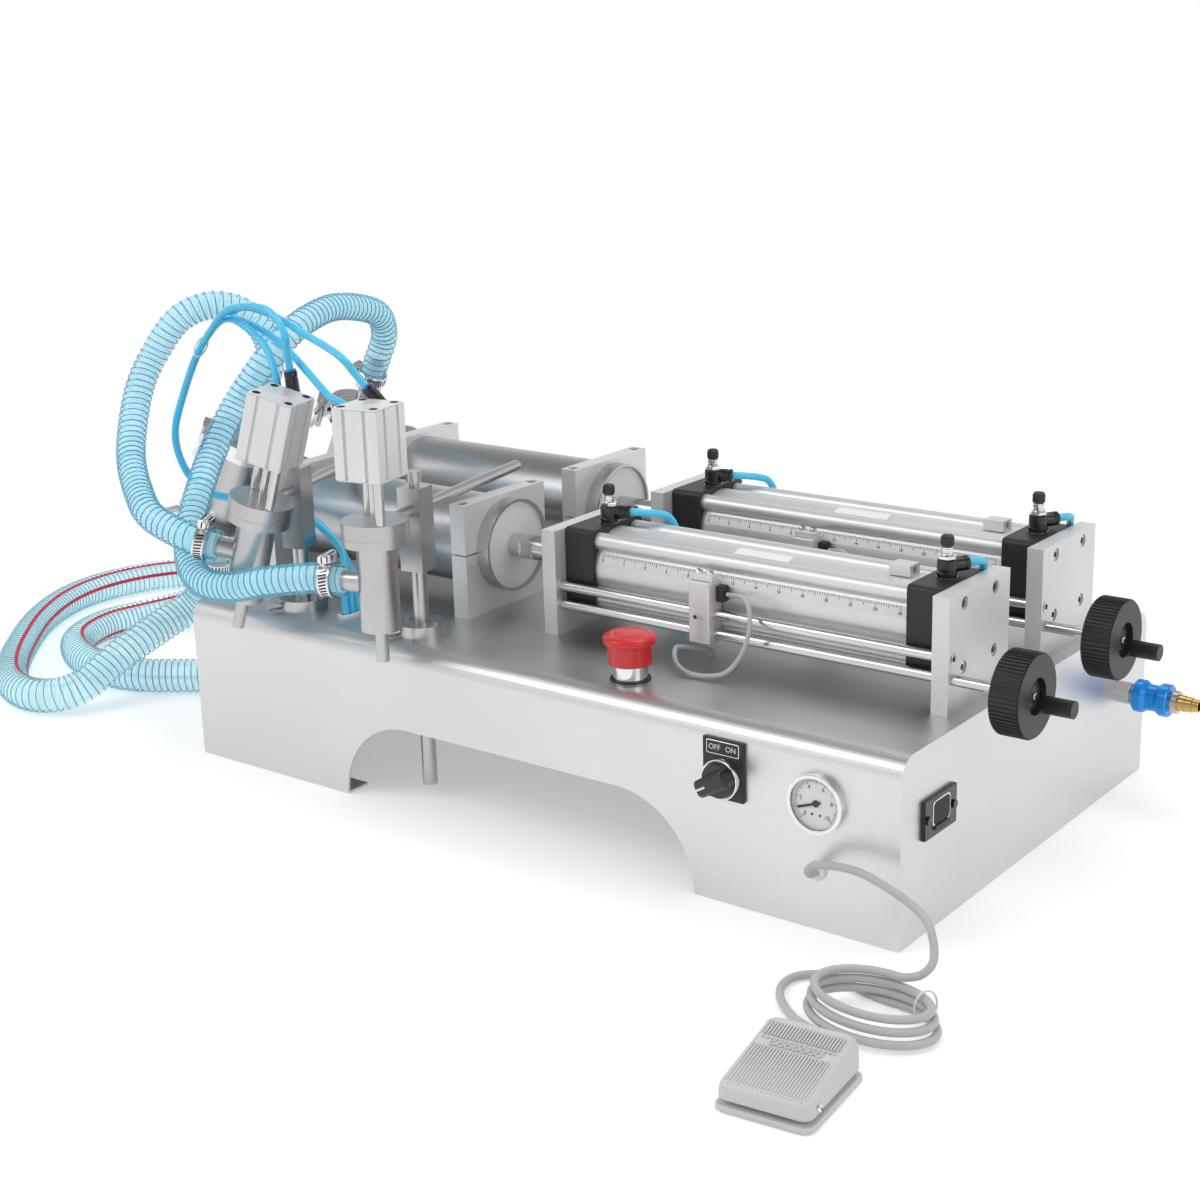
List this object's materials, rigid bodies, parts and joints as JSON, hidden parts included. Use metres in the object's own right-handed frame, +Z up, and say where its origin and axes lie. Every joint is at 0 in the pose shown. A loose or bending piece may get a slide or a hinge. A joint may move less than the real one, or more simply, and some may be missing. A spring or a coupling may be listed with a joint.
{
  "type": "liquid filling machine",
  "caption": "Bench-top pneumatic piston filler: stainless base, product and air cylinders in line, nozzle stands, clear hoses, stop button, gauge and foot switch.",
  "frame": {"origin": "middle of the base's footprint, on the table it stands on", "axes": "+X along the machine towards the handwheels, +Y to the back, +Z up"},
  "size_m": [1.2213, 0.6341, 0.3925],
  "materials": {
    "stainless": "brushed stainless sheet and turned parts",
    "plate_alu": "matt machined aluminium",
    "barrel_alu": "satin anodised extrusion",
    "bright_steel": "ground and polished",
    "black_plastic": "matt black",
    "red_plastic": "glossy red",
    "white_plastic": "white",
    "grey_plastic": "light grey moulding",
    "grey_rubber": "grey cable sheath",
    "chrome": "bright plated",
    "brass": "bare brass",
    "blue_alu": "blue anodised",
    "blue_tube": "clear blue polyurethane",
    "clear_hose": "clear blue hose with a wire helix",
    "window": "clear",
    "dial": "white dial in a plated case",
    "piston_white": "white sealing plastic"
  },
  "bodies": {
    "machine": {"base_housing": "stainless", "clamp_plates": "plate_alu", "cylinder_plates": "plate_alu", "material_tubes": "stainless", "tube_end_caps": "stainless", "air_barrels": "barrel_alu", "air_caps": "black_plastic", "machine_screws": "bright_steel", "guide_rods": "bright_steel", "flow_controls": "black_plastic", "cylinder_air_tubes": "blue_tube", "estop_collar": "chrome", "selector_plate": "black_plastic", "pressure_gauge": "dial", "gauge_glass": "window", "power_inlet": "black_plastic", "air_inlet": "chrome", "push_in_fitting": "brass", "cable_grommet": "white_plastic", "stand_collars": "stainless", "valve_tees": "stainless", "pipe_clamps": "stainless", "hose_clamps": "stainless", "foot_switch_base": "grey_plastic", "foot_cable": "grey_rubber", "foot_cable_coil": "grey_rubber", "suction_hose_a": "clear_hose", "suction_hose_b": "clear_hose", "valve_manifold": "plate_alu", "sensor_cables": "grey_rubber", "delivery_hose_a": "clear_hose", "delivery_hose_b": "clear_hose", "nozzle_air_tubes": "blue_tube"},
    "piston_a": {"plunger_a": "piston_white", "piston_rod_a": "bright_steel"},
    "wheel_a": {"lead_screw_a": "bright_steel", "handwheel_a": "black_plastic"},
    "bracket_a": {"sensor_bracket_a": "plate_alu"},
    "knob_a1": {"flow_knob_a1": "black_plastic"},
    "knob_a2": {"flow_knob_a2": "black_plastic"},
    "stand_a": {"stand_post_a": "stainless"},
    "nozzle_a": {"nozzle_body_a": "stainless", "actuator_a": "barrel_alu"},
    "stem_a": {"nozzle_stem_a": "bright_steel"},
    "piston_b": {"plunger_b": "piston_white", "piston_rod_b": "bright_steel"},
    "wheel_b": {"lead_screw_b": "bright_steel", "handwheel_b": "black_plastic"},
    "bracket_b": {"sensor_bracket_b": "plate_alu"},
    "knob_b1": {"flow_knob_b1": "black_plastic"},
    "knob_b2": {"flow_knob_b2": "black_plastic"},
    "stand_b": {"stand_post_b": "stainless"},
    "nozzle_b": {"nozzle_body_b": "stainless", "actuator_b": "barrel_alu"},
    "stem_b": {"nozzle_stem_b": "bright_steel"},
    "stop": {"estop_button": "red_plastic"},
    "selector": {"selector_knob": "black_plastic"},
    "needle": {"gauge_needle": "black_plastic"},
    "sleeve": {"slide_sleeve": "blue_alu"},
    "pedal": {"foot_pedal": "grey_plastic"}
  },
  "joints": [
    {"name": "piston_slide_a", "type": "slide", "parent": "machine", "child": "piston_a", "axis": [-1, 0, 0], "range_m": [0, 0.2]},
    {"name": "handwheel_turn_a", "type": "hinge", "parent": "machine", "child": "wheel_a", "pos_m": [0.375, -0.103, 0.1615], "axis": [1, 0, 0], "range_deg": [-25920, 42624]},
    {"name": "bracket_slide_a", "type": "slide", "parent": "machine", "child": "bracket_a", "axis": [1, 0, 0], "range_m": [-0.0901, 0.1481], "deforming": ["sensor_cables"]},
    {"name": "flow_knob_turn_a1", "type": "hinge", "parent": "machine", "child": "knob_a1", "pos_m": [0.00364, -0.0645, 0.24], "axis": [0, 0, 1], "range_deg": [0, 1080]},
    {"name": "flow_knob_turn_a2", "type": "hinge", "parent": "machine", "child": "knob_a2", "pos_m": [0.2987, -0.0645, 0.24], "axis": [0, 0, 1], "range_deg": [0, 1080]},
    {"name": "stand_height_a", "type": "slide", "parent": "machine", "child": "stand_a", "axis": [0, 0, 1], "range_m": [0, 0.04], "deforming": ["delivery_hose_a", "nozzle_air_tubes"]},
    {"name": "nozzle_tilt_a", "type": "hinge", "parent": "stand_a", "child": "nozzle_a", "pos_m": [-0.111, -0.163, 0.239], "axis": [-0.1736, 0.9848, 0], "range_deg": [-5, 15], "deforming": ["delivery_hose_a", "nozzle_air_tubes"]},
    {"name": "stem_lift_a", "type": "slide", "parent": "nozzle_a", "child": "stem_a", "axis": [0, 0, 1], "range_m": [0, 0.012], "stiffness_N_per_m": 500, "springref_m": -0.01},
    {"name": "piston_slide_b", "type": "slide", "parent": "machine", "child": "piston_b", "axis": [-1, 0, 0], "range_m": [0, 0.2]},
    {"name": "handwheel_turn_b", "type": "hinge", "parent": "machine", "child": "wheel_b", "pos_m": [0.375, 0.0418, 0.1615], "axis": [1, 0, 0], "range_deg": [-25920, 42624]},
    {"name": "bracket_slide_b", "type": "slide", "parent": "machine", "child": "bracket_b", "axis": [1, 0, 0], "range_m": [-0.0901, 0.1481], "deforming": ["sensor_cables"]},
    {"name": "flow_knob_turn_b1", "type": "hinge", "parent": "machine", "child": "knob_b1", "pos_m": [0.00364, 0.0803, 0.24], "axis": [0, 0, 1], "range_deg": [0, 1080]},
    {"name": "flow_knob_turn_b2", "type": "hinge", "parent": "machine", "child": "knob_b2", "pos_m": [0.2987, 0.0803, 0.24], "axis": [0, 0, 1], "range_deg": [0, 1080]},
    {"name": "stand_height_b", "type": "slide", "parent": "machine", "child": "stand_b", "axis": [0, 0, 1], "range_m": [0, 0.04], "deforming": ["delivery_hose_b", "nozzle_air_tubes"]},
    {"name": "nozzle_tilt_b", "type": "hinge", "parent": "stand_b", "child": "nozzle_b", "pos_m": [-0.243, -0.163, 0.239], "axis": [-0.2924, 0.9563, 0], "range_deg": [-16, 4], "deforming": ["delivery_hose_b", "nozzle_air_tubes"]},
    {"name": "stem_lift_b", "type": "slide", "parent": "nozzle_b", "child": "stem_b", "axis": [0.2636, 0.0806, 0.9613], "range_m": [0, 0.012], "stiffness_N_per_m": 500, "springref_m": -0.01},
    {"name": "stop_press", "type": "slide", "parent": "machine", "child": "stop", "axis": [0, 0, -1], "range_m": [0, 0.0045], "stiffness_N_per_m": 800, "springref_m": -0.005},
    {"name": "selector_turn", "type": "hinge", "parent": "machine", "child": "selector", "pos_m": [0.202, -0.205, 0.096], "axis": [0, -1, 0], "range_deg": [-90, 0]},
    {"name": "needle_turn", "type": "hinge", "parent": "machine", "child": "needle", "pos_m": [0.2765, -0.2025, 0.0935], "axis": [0, -1, 0], "range_deg": [-245, 25], "stiffness_Nm_per_rad": 0.0005},
    {"name": "sleeve_slide", "type": "slide", "parent": "machine", "child": "sleeve", "axis": [1, 0, 0], "range_m": [-0.003, 0.0025]},
    {"name": "pedal_press", "type": "hinge", "parent": "machine", "child": "pedal", "pos_m": [0.37228, -0.36714, 0.011], "axis": [0.9945, 0.1045, 0], "range_deg": [0, 2.4], "stiffness_Nm_per_rad": 2, "springref_deg": -2.86}
  ],
  "couplings": [
    {"joint": "bracket_slide_a", "follows": "handwheel_turn_a", "m_per_rad": 0.00019894},
    {"joint": "bracket_slide_b", "follows": "handwheel_turn_b", "m_per_rad": 0.00019894}
  ]
}
